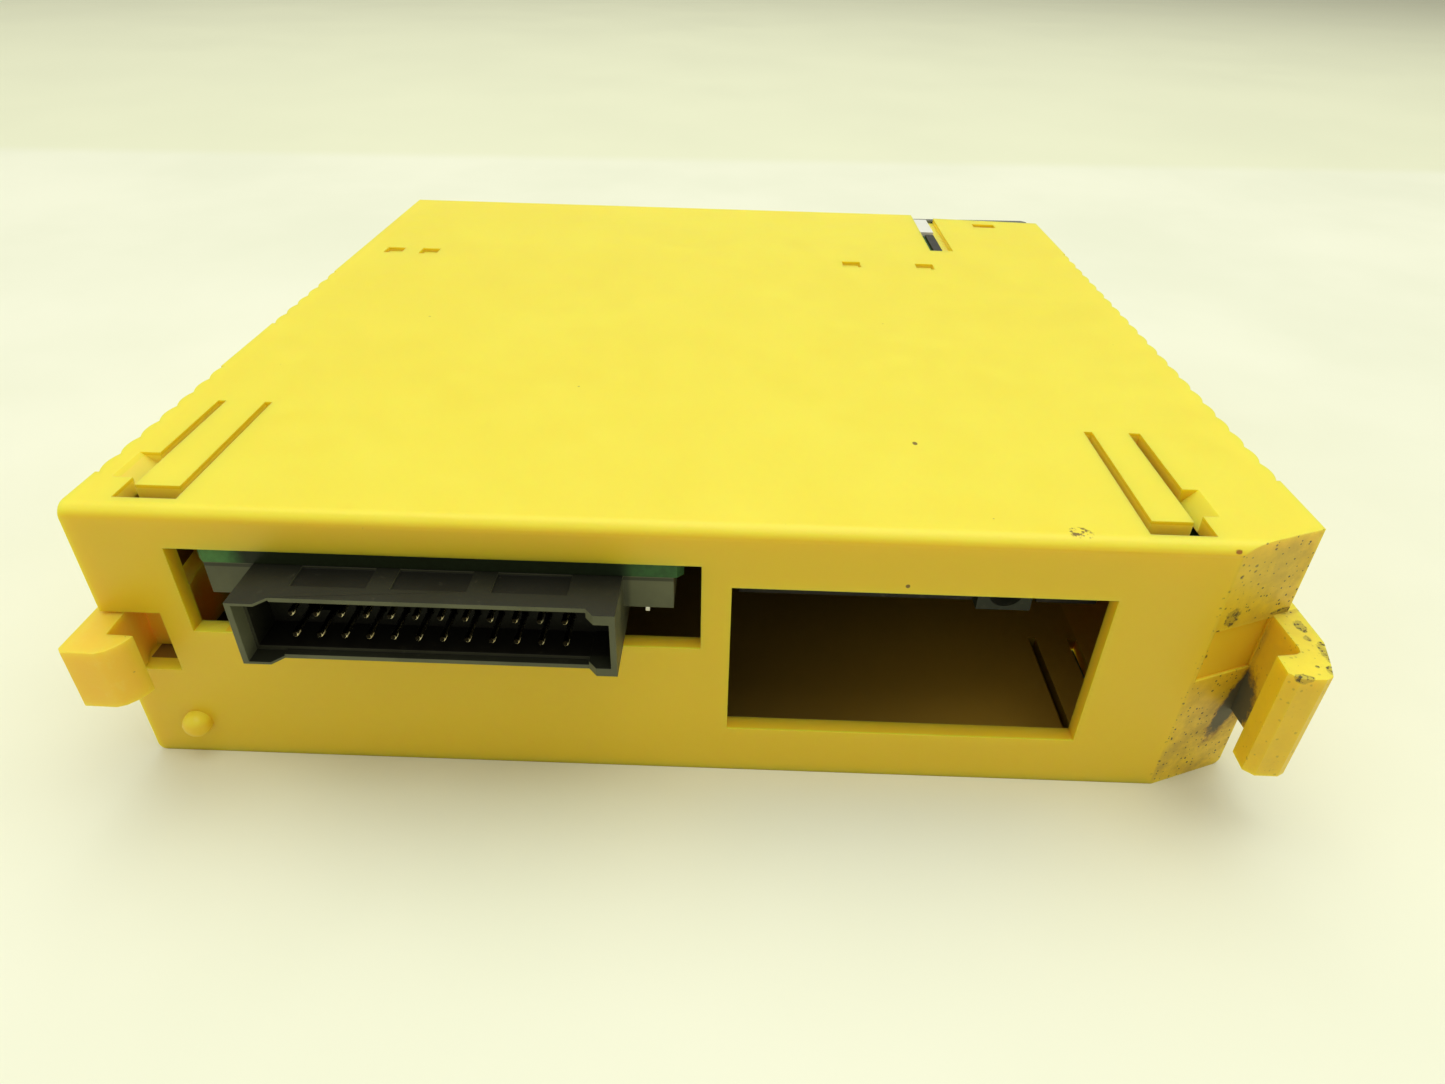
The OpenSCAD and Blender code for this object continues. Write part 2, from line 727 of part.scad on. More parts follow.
// Socket under the board's front edge that the terminal block plugs into
module terminal_socket() {
    last_x = terminal_x0 + row_shift + (terminal_columns - 1) * terminal_pitch;
    y2 = block_y1 - 0.3;
    color(moulding_black) from_corner() difference() {
        block([terminal_x0 - 3.6, frame_y1 - 5, block_mid_z - 6],
              [last_x + 3.6, y2, board_z1 - 0.02]);
        for (row = [0, 1])
            each_terminal(row) block([-1, frame_y1 - 3.4, blade_z[row] - 1.7],
                                     [1, y2 + 1, blade_z[row] + 1.7]);
    }
}

// Spring contacts in the socket, one pair of leaves around each blade
module socket_contacts() {
    color(contact_gold) from_corner() for (row = [0, 1])
        each_terminal(row) {
            for (s = [-1, 1])
                translate([s * 0.7, 0, 0])
                    block([-0.15, frame_y1 - 3.3, blade_z[row] - 1.3],
                          [0.15, block_y1 - 0.8, blade_z[row] + 1.3]);
            block([-0.85, frame_y1 - 3.3, blade_z[row] - 1.3],
                  [0.85, frame_y1 - 3, blade_z[row] + 1.3]);
        }
}

// Steel pin that the latch lever turns on
module latch_pin() {
    spring_room = spring_turns * spring_wire_r * 2 + 0.5;
    color(plated_steel) from_corner()
        translate([lever_pin_x, lever_pin_y, lever_z1 - spring_room - lug_t - 0.2])
            cylinder(r = latch_pin_r, h = lever_z2 - lever_z1 + spring_room + 2 * lug_t + 0.7);
}

// Torsion spring on the pin: close turns and two legs
module latch_spring() {
    z0 = lever_z1 - 0.25 - spring_turns * spring_wire_r * 2;
    color(plated_steel) from_corner() translate([lever_pin_x, lever_pin_y, z0]) {
        for (i = [0:spring_turns - 1])
            translate([0, 0, spring_wire_r * (2 * i + 1)])
                rotate_extrude() translate([spring_coil_r, 0]) circle(spring_wire_r + 0.01, $fn = 24);
        // One leg bears on the end wall, the other on the lever's peg
        translate([-spring_coil_r, 0, spring_wire_r])
            rotate([0, 0, 9]) rod_y(spring_wire_r, 0, 10.5);
        translate([spring_coil_r, 0, spring_wire_r * (2 * spring_turns - 1)])
            rotate([0, 0, 8]) rod_y(spring_wire_r, 0, 12);
    }
}

// Plan of the latch lever, from its hook to its press tab
module lever_plan() {
    difference() {
        union() {
            polygon([
                // Hook and the arm through the corner notch
                [-1, -5.9], [-0.5, -6.5], [3, -6.55], [3.9, -6.15], [4.7, -5.3], [5.2, -4.4],
                [5.5, -3.5], [2.6, -3.4],
                [2.4, 0.6], [1.7, 2.6], [1.7, 4], [6.9, 4], [6.9, 6.2],
                // Inner side of the arm
                [6.4, 8], [6.9, 18], [7.4, 26], [6.2, 34], [5.6, 46.6],
                // Press tab and the shoulder that rests on the end wall
                [4.6, 47.7], [0.6, 47.7], [0.1, 47.2], [0.1, 38.8], [0.6, 38.3], [2.3, 38.3],
                [2.3, 35], [3.4, 32], [3.4, 26], [3.7, 16], [4.3, 9], [2.6, 7], [-1, 4.3]
            ]);
            translate([lever_pin_x, lever_pin_y]) circle(lever_eye_r);
        }
        translate([lever_pin_x, lever_pin_y]) circle(latch_pin_r + lever_pin_gap);
    }
}

// Sprung latch lever: its hook holds the rack, its tab is pressed to free it
module latch_lever() {
    color(lever_yellow) from_corner() difference() {
        union() {
            translate([0, 0, lever_z1]) linear_extrude(lever_z2 - lever_z1) lever_plan();
            translate([5.2, lever_pin_y + 10, lever_z1 - 1]) cylinder(r = 0.85, h = 1.2);
        }
        // Grip grooves across the press tab
        for (i = [0:3])
            translate([0, 40.4 + i * 1.8, 0])
                block([-1, 0, lever_z1 - 1], [0.5, 0.7, lever_z2 + 1]);
    }
}

// Pull-off terminal block: base, barriers, end lugs for the cover's hinge
module terminal_block() {
    barrier_t = 1.2;
    row_half = 5.4;
    spine_half = 0.9;
    color(moulding_black) from_corner() difference() {
        union() {
            block([block_x1, block_y1, block_z1], [block_x2, block_y2, block_z2]);
            for (row = [0, 1])
                for (i = [0:terminal_columns])
                    translate([terminal_x0 + row * row_shift + (i - 0.5) * terminal_pitch, 0, row_z[row]])
                        block([-barrier_t / 2, block_y2 - 1, -row_half],
                              [barrier_t / 2, barrier_y, row_half]);
            block([terminal_x0 - terminal_pitch / 2, block_y2 - 1, block_mid_z - spine_half],
                  [terminal_x0 + row_shift + (terminal_columns - 0.5) * terminal_pitch,
                   barrier_y - 1.5, block_mid_z + spine_half]);
            for (x = [block_x1, block_x2 - hinge_lug_w]) {
                block([x, block_y2 - 1, hinge_z - hinge_lug_r],
                      [x + hinge_lug_w, hinge_y, block_z2]);
                translate([0, hinge_y, hinge_z])
                    intersection() {
                        rod_x(hinge_lug_r, x, x + hinge_lug_w);
                        block([x - 1, -3, -3], [x + 3, 3, block_z2 - hinge_z]);
                    }
            }
        }
        for (x = [block_x1, block_x2 - hinge_lug_w])
            translate([0, hinge_y, hinge_z]) rod_x(hinge_r + hinge_gap, x - 1, x + hinge_lug_w + 1);
        for (row = [0, 1])
            each_terminal(row) block([-0.45, block_y1 - 1, blade_z[row] - 1.25],
                                     [0.45, block_y2 + 1, blade_z[row] + 1.25]);
        for (x = block_screw_x)
            translate([x, 0, block_mid_z]) rod_y(block_screw_r + 0.2, block_y1 - 1, block_y2 + 1);
        // Tapped holes under the terminal screws
        for (row = [0, 1])
            each_terminal(row) translate([0, 0, row_z[row]]) rod_y(1.6, block_y1 + 1.4, block_y2 + 1);
    }
}

// Blades on the back of the terminal block, one per terminal
module terminal_blades() {
    color(contact_gold) from_corner() for (row = [0, 1])
        each_terminal(row) block([-0.4, frame_y1 - 2.2, blade_z[row] - 1.2],
                                 [0.4, block_y2, blade_z[row] + 1.2]);
}

// Plated contact plates under the terminal screws
module terminal_plates() {
    plate_t = 0.8;
    color(plated_steel) from_corner() for (row = [0, 1])
        each_terminal(row) difference() {
            block([-3.1, block_y2, row_z[row] - 4.6], [3.1, block_y2 + plate_t, row_z[row] + 4.6]);
            translate([0, 0, row_z[row]]) rod_y(1.6, block_y2 - 1, block_y2 + 2);
        }
}

// Terminal screws with their square washers
module terminal_screws() {
    y1 = block_y2 + 0.82;
    washer_t = 0.6;
    head_h = 2;
    color(plated_steel) from_corner() for (row = [0, 1])
        each_terminal(row) translate([0, 0, row_z[row]]) difference() {
            union() {
                block([-2.9, y1, -2.9], [2.9, y1 + washer_t, 2.9]);
                rod_y(2.6, y1 + washer_t - eps, y1 + washer_t + head_h);
                rod_y(1.5, y1 - 4.5, y1 + 1);
            }
            for (a = [0, 90])
                rotate([0, a, 0]) block([-1.7, y1 + washer_t + 1, -0.35], [1.7, y1 + 5, 0.35]);
        }
}

// Two long screws that fasten the terminal block
module block_screws() {
    head_y = block_y2 + 0.1;
    color(plated_steel) from_corner() for (x = block_screw_x)
        translate([x, 0, block_mid_z]) difference() {
            union() {
                rod_y(block_screw_r, frame_y1 - 6.4, head_y + 1);
                rod_y(2.7, head_y, head_y + 2.6);
            }
            block([-3, head_y + 1.5, -0.4], [3, head_y + 4, 0.4]);
        }
}

// Clear cover hinged on the terminal block
module terminal_cover() {
    arm_x1 = block_x1 + hinge_lug_w + 0.25;
    arm_x2 = block_x2 - hinge_lug_w - 0.25;
    arm_t = 1.8;
    knuckle_r = 1.7;
    plate_top = hinge_z + 1;
    plate_low = block_z1 + 0.3;
    color([0.85, 0.88, 0.86, 0.5]) from_corner() difference() {
        union() {
            block([block_x1 + 0.2, cover_y1, plate_low], [block_x2 - 0.2, cover_y2, hinge_z - 2.9]);
            block([arm_x1, cover_y1, hinge_z - 3], [arm_x2, cover_y2, plate_top]);
            // Hinge arms and their pivots
            for (x = [arm_x1, arm_x2 - arm_t]) {
                translate([0, hinge_y, hinge_z]) rod_x(knuckle_r, x, x + arm_t);
                block([x, hinge_y, hinge_z - knuckle_r], [x + arm_t, cover_y2, hinge_z + 0.9]);
            }
            translate([0, hinge_y, hinge_z]) {
                rod_x(hinge_r, block_x1 + 0.1, arm_x1 + 0.5);
                rod_x(hinge_r, arm_x2 - 0.5, block_x2 - 0.1);
            }
            // Finger lip along the free edge, and the label's two runners
            block([40, cover_y2 - 0.2, plate_low], [68, cover_y2 + 1, plate_low + 1.4]);
            for (z = [11.2, 25.6])
                block([11, cover_y1 - 0.5, z], [96, cover_y1 + 0.2, z + 0.7]);
        }
        // Knuckles stay clear of the stop of the case
        block([0, hinge_y - 3, hinge_z + 1.3], [case_len, cover_y2 + 1, hinge_z + 4]);
    }
}

// Blank label card behind the cover
module label_card() {
    color([0.95, 0.95, 0.92]) from_corner()
        block([12, cover_y1 - 0.25, 12], [95, cover_y1 - 0.03, 25.5]);
}

case_shell();
front_frame();
led_window();
light_guide();
status_leds();
display_board();
riser_board();
display_connector();
main_board();
board_screws();
bus_connector();
bus_pins();
board_locks();
bus_controller();
bus_transceivers();
optocouplers();
output_drivers();
resistor_networks();
fuse_holder();
fuse();
capacitors();
chip_resistors();
terminal_socket();
socket_contacts();
threaded_inserts();
latch_pin();
latch_spring();
latch_lever();
terminal_block();
terminal_blades();
terminal_plates();
terminal_screws();
block_screws();
terminal_cover();
label_card();
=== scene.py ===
import math

import bmesh
import bpy
from mathutils import Matrix, Vector


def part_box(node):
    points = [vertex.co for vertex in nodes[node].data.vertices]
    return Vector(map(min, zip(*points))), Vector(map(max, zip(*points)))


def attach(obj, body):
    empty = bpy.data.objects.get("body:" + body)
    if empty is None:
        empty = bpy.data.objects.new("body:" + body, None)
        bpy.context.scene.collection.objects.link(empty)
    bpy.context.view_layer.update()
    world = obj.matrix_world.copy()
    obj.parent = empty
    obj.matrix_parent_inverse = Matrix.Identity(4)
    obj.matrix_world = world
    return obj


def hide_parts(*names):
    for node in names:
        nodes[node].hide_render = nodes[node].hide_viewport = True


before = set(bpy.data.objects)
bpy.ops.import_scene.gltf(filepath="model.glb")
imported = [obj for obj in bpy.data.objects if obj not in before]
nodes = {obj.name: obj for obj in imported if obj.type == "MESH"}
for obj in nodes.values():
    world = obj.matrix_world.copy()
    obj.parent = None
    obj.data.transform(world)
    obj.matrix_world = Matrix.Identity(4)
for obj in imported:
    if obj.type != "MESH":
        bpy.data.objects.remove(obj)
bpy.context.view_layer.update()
scene = bpy.context.scene
MM = 0.001

# The case's own corner, where the latch end, the back face and the lying side meet.
# Distances below are in millimetres from that corner, X along the case, Y into it, Z up.
CORNER = Vector((-65.0, -62.25, 0.0))

# Places on the case
HOLLOW = {"x": (1.96, 128.04), "y": (1.96, 100), "z": (1.96, 32.64)}
LATCH_NOOK = {"x": (-2, 15), "y": (-2, 13), "z": (22, 34)}
SLOTS_X, SLOTS_Y = (2.2, 118), (2.2, 121.5)
LOWER_SLOTS = {"x": SLOTS_X, "y": SLOTS_Y, "z": (0.2, 1.98)}
UPPER_SLOTS = {"x": SLOTS_X, "y": SLOTS_Y, "z": (32.66, 34.2)}
WINDOW_REVEALS = {"x": (13, 118), "y": (0.2, 1.94), "z": (2, 32)}
HOOK_RECESS = {"x": (120.6, 127.6), "y": (-0.5, 9), "z": (12.2, 23.9)}
CUT_EDGE = {"x": (119.9, 121.3), "y": (-0.4, 1.2)}
CATCHES = {"x": (3, 127), "y": (100, 121.5), "z": (32.8, 34.3)}

# Places on the rack plug, on the board and under the case
PLUG_CAVITY = {"x": (18.9, 57.0), "z": (20.5, 27.8)}
PLUG_POCKETS = {"y": (-3.35, 1), "z": (27.6, 28.0)}
ABOVE_PLUG = {"x": (16.5, 58.5)}
UNDER_CASE = {"x": (12, 118), "y": (4, 110)}

# The cut corner's face starts at this X, and goes back by this much for each millimetre of X
CUT_START, CUT_SLOPE = 120.3, 0.402
# Spacing of the plug's pins, the board's tracks and the card's columns
PIN_PITCH = 2.54
TRACK_PITCH = 1.27
CARD_START, CARD_PITCH = 10.9, 8.0

# Scuffed patches along the hook's outer edge, at its root and on the cut corner:
# X, Y, Z and radius, how much each axis is narrowed, and how ragged the edge is
SCUFFS = (
    (122.1, 0.7, 25.0, 0.95, (1, 1, 0.8), 0.8),
    (128.9, 3.6, 24.2, 1.0, (0.55, 1, 2.6), 0.5),
    (130.1, 1.4, 23.8, 0.6, (1.1, 0.6, 1), 0.9),
    (129.8, -0.7, 23.8, 0.35, (1, 0.7, 1), 0.9),
    (130.8, -1.6, 23.7, 0.35, (1, 0.8, 1), 0.9),
    (130.6, -3.4, 23.7, 0.75, (1.3, 0.5, 0.8), 0.9),
    (130.0, -5.9, 23.7, 0.65, (1, 0.8, 1), 0.9),
    (126.3, -7.1, 23.7, 0.75, (0.75, 1.4, 1.2), 0.6),
    (128.6, -5.3, 23.8, 0.22, (1, 1, 1), 0.8),
)


def at(x, y, z):
    """A point given in millimetres from the case's corner, in metres in the part's frame."""
    return (Vector((x, y, z)) + CORNER) * MM


# ---------------------------------------------------------------- node graphs


class Graph:
    """A material's node graph, with short calls for the nodes that it uses."""

    def __init__(self, name, **settings):
        self.material = bpy.data.materials.new(name)
        self.material.use_nodes = True
        self.tree = self.material.node_tree
        self.shader = self.tree.nodes["Principled BSDF"]
        for key, value in settings.items():
            self.shader.inputs[key.replace("_", " ")].default_value = value
        coordinates = self.node("ShaderNodeTexCoord")
        self.place = coordinates.outputs["Object"]
        faces = self.node("ShaderNodeSeparateXYZ", {0: coordinates.outputs["Normal"]})
        self.facing_x, self.facing_y, self.facing_z = faces.outputs
        split = self.node("ShaderNodeSeparateXYZ", {0: self.place})
        self.x, self.y, self.z = (
            self.math("MULTIPLY_ADD", socket, 1 / MM, -shift)
            for socket, shift in zip(split.outputs, CORNER)
        )
        self.ragged = self.noise(1100.0, 5.0, 0.7)

    def node(self, kind, inputs=None, **props):
        made = self.tree.nodes.new(kind)
        for key, value in props.items():
            setattr(made, key, value)
        for key, value in (inputs or {}).items():
            self.put(made.inputs[key], value)
        return made

    def put(self, socket, value):
        if isinstance(value, bpy.types.NodeSocket):
            self.tree.links.new(value, socket)
        else:
            socket.default_value = value

    def math(self, operation, a, b=0.0, c=0.0, clamp=False):
        made = self.node("ShaderNodeMath", {0: a, 1: b, 2: c}, operation=operation)
        made.use_clamp = clamp
        return made.outputs[0]

    def ramp(self, value, low, high, out_low=0.0, out_high=1.0):
        """value from low to high becomes out_low to out_high, smoothly."""
        made = self.node(
            "ShaderNodeMapRange",
            {0: value, 1: low, 2: high, 3: out_low, 4: out_high},
            interpolation_type="SMOOTHSTEP",
        )
        return made.outputs[0]

    def noise(self, scale, detail, rough=0.5, where=None):
        made = self.node(
            "ShaderNodeTexNoise",
            {
                "Vector": where or self.place,
                "Scale": scale,
                "Detail": detail,
                "Roughness": rough,
            },
        )
        return made.outputs["Fac"]

    def stretched(self, sx, sy, sz):
        """The place with its axes scaled, so that noise is drawn out along the smaller ones."""
        scaled = self.node("ShaderNodeMapping", {"Vector": self.place, "Scale": (sx, sy, sz)})
        return scaled.outputs[0]

    def mix(self, factor, a, b):
        made = self.node("ShaderNodeMix", data_type="RGBA")
        # a colour mix's factor and two colours
        self.put(made.inputs[0], factor)
        self.put(made.inputs[6], a)
        self.put(made.inputs[7], b)
        return made.outputs[2]

    def spots(self, scale, size, share, salt=0.0):
        """Irregular specks: scale cells to the metre, a share of them filled."""
        moved = (salt, salt * 0.7, salt * 1.3)
        where = self.node("ShaderNodeMapping", {"Vector": self.place, "Location": moved})
        where = where.outputs[0]
        ragged = self.node("ShaderNodeVectorMath", operation="ADD")
        wobble = self.node(
            "ShaderNodeTexNoise", {"Vector": where, "Scale": scale * 3.0, "Detail": 2.0}
        )
        scaled = self.node("ShaderNodeVectorMath", operation="SCALE")
        self.put(scaled.inputs[0], wobble.outputs["Color"])
        scaled.inputs[3].default_value = 0.35 / scale
        self.put(ragged.inputs[0], where)
        self.put(ragged.inputs[1], scaled.outputs[0])
        cell = self.node(
            "ShaderNodeTexVoronoi", {"Vector": ragged.outputs[0], "Scale": scale}
        )
        pick = self.node("ShaderNodeSeparateColor", {0: cell.outputs["Color"]})
        chosen = self.math("LESS_THAN", pick.outputs[0], share)
        radius = self.math("MULTIPLY", pick.outputs[1], size)
        inside = self.math("SUBTRACT", radius, cell.outputs["Distance"])
        return self.math("MULTIPLY", self.ramp(inside, 0.0, size * 0.35), chosen)

    def zone(self, soft, x=None, y=None, z=None):
        """1 inside a box given in millimetres from the case's corner, 0 outside."""
        result = 1.0
        for socket, span in ((self.x, x), (self.y, y), (self.z, z)):
            if span is None:
                continue
            up = self.ramp(socket, span[0] - soft, span[0] + soft)
            down = self.ramp(socket, span[1] - soft, span[1] + soft, 1.0, 0.0)
            result = self.math("MULTIPLY", self.math("MULTIPLY", up, down), result)
        return result

    def stain(self, x, y, z, r, squeeze=(1, 1, 1), ragged=0.5, lean=0.0):
        """A ragged mark of radius r round a point, in millimetres from the case's corner.

        squeeze narrows it along an axis, and lean tilts it from Z towards X."""
        offset = self.node("ShaderNodeCombineXYZ")
        over = self.math("SUBTRACT", self.z, z)
        along = self.math("MULTIPLY_ADD", over, -lean, self.math("SUBTRACT", self.x, x))
        across = self.math("SUBTRACT", self.y, y)
        for socket, value, narrow in zip(offset.inputs, (along, across, over), squeeze):
            self.put(socket, self.math("MULTIPLY", value, narrow))
        away = self.node("ShaderNodeVectorMath", {0: offset.outputs[0]}, operation="LENGTH")
        edge = self.math("MULTIPLY_ADD", self.ragged, ragged * 2 * r, away.outputs["Value"])
        return self.ramp(edge, r * (0.85 + ragged), r * (1.15 + ragged), 1.0, 0.0)

    def paint(self, colour, mask, over, strength=1.0):
        """The colour with another laid over it where the mask is, as strongly as given."""
        if strength != 1.0:
            mask = self.math("MULTIPLY", mask, strength)
        return self.mix(mask, colour, over)

    def times(self, *values):
        """Several masks multiplied together."""
        result = values[0]
        for value in values[1:]:
            result = self.math("MULTIPLY", result, value)
        return result

    def most(self, *values):
        """The highest of several masks."""
        result = values[0]
        for value in values[1:]:
            result = self.math("MAXIMUM", result, value)
        return result

    def bump(self, height, strength, distance):
        made = self.node(
            "ShaderNodeBump",
            {"Height": height, "Strength": strength, "Distance": distance},
        )
        return made.outputs[0]

    def finish(self, colour, rough, normal=None, **links):
        """Joins the graph to the shader, and gives the material."""
        self.put(self.shader.inputs["Base Color"], colour)
        self.put(self.shader.inputs["Roughness"], rough)
        if normal is not None:
            self.put(self.shader.inputs["Normal"], normal)
        for key, value in links.items():
            self.put(self.shader.inputs[key.replace("_", " ")], value)
        return self.material


def rgb(r, g, b):
    """A colour given as 0 to 255 in sRGB, as linear RGBA."""
    out = []
    for v in (r, g, b):
        v /= 255.0
        out.append(v / 12.92 if v <= 0.04045 else ((v + 0.055) / 1.055) ** 2.4)
    return (*out, 1.0)


# How much of the light soaks into clean yellow plastic
SOAK = 0.8


def yellow_plastic(name, light, deep, side_shade, grime=1.0):
    """Translucent moulded plastic, with painted shade: faces that do not face up get the deeper
    side colour.

    Gives (graph, colour, roughness, normal)."""
    g = Graph(
        name,
        Subsurface_Weight=SOAK,
        Subsurface_Scale=0.003,
        Subsurface_Radius=(1.0, 0.75, 0.2),
        Specular_IOR_Level=0.45,
    )
    broad = g.noise(16.0, 2.0, 0.5)
    middle = g.noise(190.0, 4.0, 0.55)
    tone = g.math("MULTIPLY_ADD", broad, 0.6, g.math("MULTIPLY", middle, 0.4))
    colour = g.mix(g.ramp(tone, 0.3, 0.7), deep, light)
    # Painted shade: faces that turn away from up take the deeper side colour
    colour = g.mix(g.ramp(g.facing_z, 0.15, 0.75, 1.0, 0.0), colour, side_shade)
    # faint rubbed streaks along the case, and a little dust
    streak = g.noise(60.0, 5.0, 0.7, where=g.stretched(0.25, 1.6, 1.6))
    colour = g.mix(g.ramp(streak, 0.56, 0.85, 0.0, 0.06 * grime), colour, rgb(206, 172, 70))
    specks = g.math("MULTIPLY", g.spots(420.0, 0.10, 0.03), 0.5 * grime, clamp=True)
    colour = g.mix(specks, colour, rgb(110, 84, 40))
    grain = g.noise(2600.0, 2.0, 0.6)
    rough = g.ramp(middle, 0.3, 0.7, 0.38, 0.46)
    normal = g.bump(grain, 0.10, 0.00008)
    return g, colour, rough, normal


def case_yellow():
    g, colour, rough, normal = yellow_plastic(
        "housing", rgb(244, 226, 68), rgb(242, 221, 60), rgb(233, 198, 35)
    )
    # 0 on the cut corner's face, above 0 out on the hook, below 0 in the case
    side = g.math("MULTIPLY", g.math("SUBTRACT", g.x, CUT_START), CUT_SLOPE)
    side = g.math("SUBTRACT", side, g.y)

    # Painted light and shade in the hollow: dark brown towards the latch end, orange towards the
    # hook end and in the latch's nook, standing in for light that has bounced off yellow walls
    # many times
    inside = g.times(g.zone(**HOLLOW, soft=0.04), g.ramp(side, -2.1, -2.0, 1.0, 0.0))
    lit = g.ramp(g.math("MULTIPLY_ADD", g.y, -0.4, g.x), 60.0, 122.0)
    lit = g.most(lit, g.zone(**LATCH_NOOK, soft=1.5))
    hollow = g.mix(lit, rgb(118, 86, 36), rgb(226, 176, 62))
    colour = g.paint(colour, inside, hollow, 0.92)

    # Painted shade in the lower wall's slots, which stay in shadow. Painted glow on the upper
    # slots, the edges of the windows and the hook's recess, where light soaks through their walls
    colour = g.paint(colour, g.zone(**LOWER_SLOTS, soft=0.05), rgb(112, 78, 30), 0.7)
    colour = g.paint(colour, g.zone(**UPPER_SLOTS, soft=0.05), rgb(255, 224, 84), 0.9)
    recess = g.times(g.zone(**HOOK_RECESS, soft=0.2), g.ramp(side, -0.35, -0.2, 1.0, 0.0))
    reveals = g.zone(**WINDOW_REVEALS, soft=0.05)
    glow = g.most(g.math("MULTIPLY", reveals, 0.8), g.math("MULTIPLY", recess, 0.7))
    colour = g.paint(colour, glow, rgb(250, 200, 44))

    # Grime on the cut corner, thicker low down and towards the end, and thin on the hook
    outer = g.times(g.ramp(side, -0.16, -0.04), g.ramp(g.x, 119.8, 120.3))
    beyond = g.ramp(side, 0.3, 0.8, 1.0, 0.3)
    low = g.ramp(g.z, 8.0, 17.0, 1.0, 0.0)
    end = g.ramp(g.x, 121.5, 129.5)
    thick = g.math("MULTIPLY_ADD", low, 0.5, g.math("MULTIPLY_ADD", end, 0.4, 0.38))
    film = g.times(g.ramp(g.noise(260.0, 6.0, 0.7), 0.32, 0.72), thick, outer, beyond)
    colour = g.paint(colour, film, rgb(166, 134, 66), 0.75)
    fine = g.most(g.spots(2500.0, 0.46, 0.36, 0.3), g.spots(1250.0, 0.30, 0.30, 0.7))
    fine = g.times(fine, outer, g.ramp(thick, 0.2, 0.8, 0.5, 1.0), beyond)
    colour = g.paint(colour, fine, rgb(50, 40, 20))
    dots = g.times(g.spots(950.0, 0.42, 0.55, 1.9), g.zone(**CUT_EDGE, soft=0.3))
    colour = g.paint(colour, dots, rgb(50, 34, 18), 0.95)

    dark = g.most(*(g.stain(*scuff) for scuff in SCUFFS))
    broken = g.most(g.spots(2300.0, 0.5, 0.75, 0.4), g.ramp(g.noise(1900.0, 4.0, 0.7), 0.5, 0.62))
    dark = g.times(dark, g.math("MULTIPLY_ADD", broken, 0.6, 0.36))
    colour = g.paint(colour, dark, rgb(58, 52, 36))

    # The black smear under the hook's root, in its brown rim
    smear = g.stain(127.9, 3.0, 11.6, 1.5, (1, 0.5, 0.27), 0.5, lean=0.30)
    rim = g.stain(128.0, 3.0, 11.7, 1.85, (1, 0.5, 0.27), 0.6, lean=0.30)
    colour = g.paint(colour, rim, rgb(150, 100, 36), 0.6)
    colour = g.paint(colour, smear, rgb(84, 85, 68), 0.93)

    # Single marks on the upper side and the back face
    crumbs = g.ramp(g.noise(1500.0, 4.0, 0.7), 0.5, 0.56)
    single = g.most(
        g.times(crumbs, g.stain(104.0, 1.6, 34.6, 0.95, (0.8, 1, 1))),
        g.stain(87.1, 0.0, 28.3, 0.24, ragged=0.2),
        g.stain(89.9, 20.0, 34.6, 0.3, (1, 0.7, 1), 0.4),
    )
    colour = g.paint(colour, single, rgb(88, 52, 22), 0.85)
    rust = g.stain(119.7, 0.1, 33.9, 0.3, (0.8, 1, 1), 0.7)
    colour = g.paint(colour, rust, rgb(150, 62, 22), 0.85)
    rough = g.math("MULTIPLY_ADD", g.most(film, dark, smear), 0.25, rough)

    # Light soaks into clean walls, hardly into grime, and not through to the hollow
    marks = g.most(fine, dots, dark, smear, single, rust, g.math("MULTIPLY", film, 0.6))
    clean = g.math("SUBTRACT", 1.0, g.most(marks, g.math("MULTIPLY", inside, 0.88)))
    return g.finish(colour, rough, normal, Subsurface_Weight=g.math("MULTIPLY", clean, SOAK))


def frame_yellow():
    g, colour, rough, normal = yellow_plastic(
        "frame", rgb(242, 222, 66), rgb(240, 216, 58), rgb(236, 202, 38)
    )
    # Painted glow: the catches under the case's holes are orange, for light soaking through the
    # yellow plastic
    colour = g.paint(colour, g.zone(**CATCHES, soft=0.1), rgb(255, 196, 62), 0.9)
    return g.finish(colour, rough, normal)


def lever_yellow():
    g, colour, rough, normal = yellow_plastic(
        "lever", rgb(252, 216, 74), rgb(250, 208, 62), rgb(248, 202, 54), 0.6
    )
    worn = g.ramp(g.noise(420.0, 6.0, 0.7), 0.5, 0.75, 0.0, 0.35)
    colour = g.paint(colour, worn, rgb(252, 224, 104))
    colour = g.paint(colour, g.spots(900.0, 0.14, 0.12, 2.3), rgb(140, 104, 50), 0.5)
    return g.finish(colour, rough, normal)


def moulded(name, light, deep, rough=(0.42, 0.58), scale=1800.0, dust=0.15, shine=0.5):
    """Plain moulded plastic or a small part's body, with a little settled dust."""
    g = Graph(name, Specular_IOR_Level=shine)
    cloud = g.noise(120.0, 4.0, 0.6)
    colour = g.mix(g.ramp(cloud, 0.3, 0.7), deep, light)
    settled = g.ramp(g.noise(700.0, 5.0, 0.7), 0.5, 0.85)
    colour = g.paint(colour, settled, rgb(150, 146, 120), dust)
    grain = g.noise(scale, 2.0, 0.55)
    return g.finish(colour, g.ramp(cloud, 0.3, 0.7, *rough), g.bump(grain, 0.15, 0.00006))


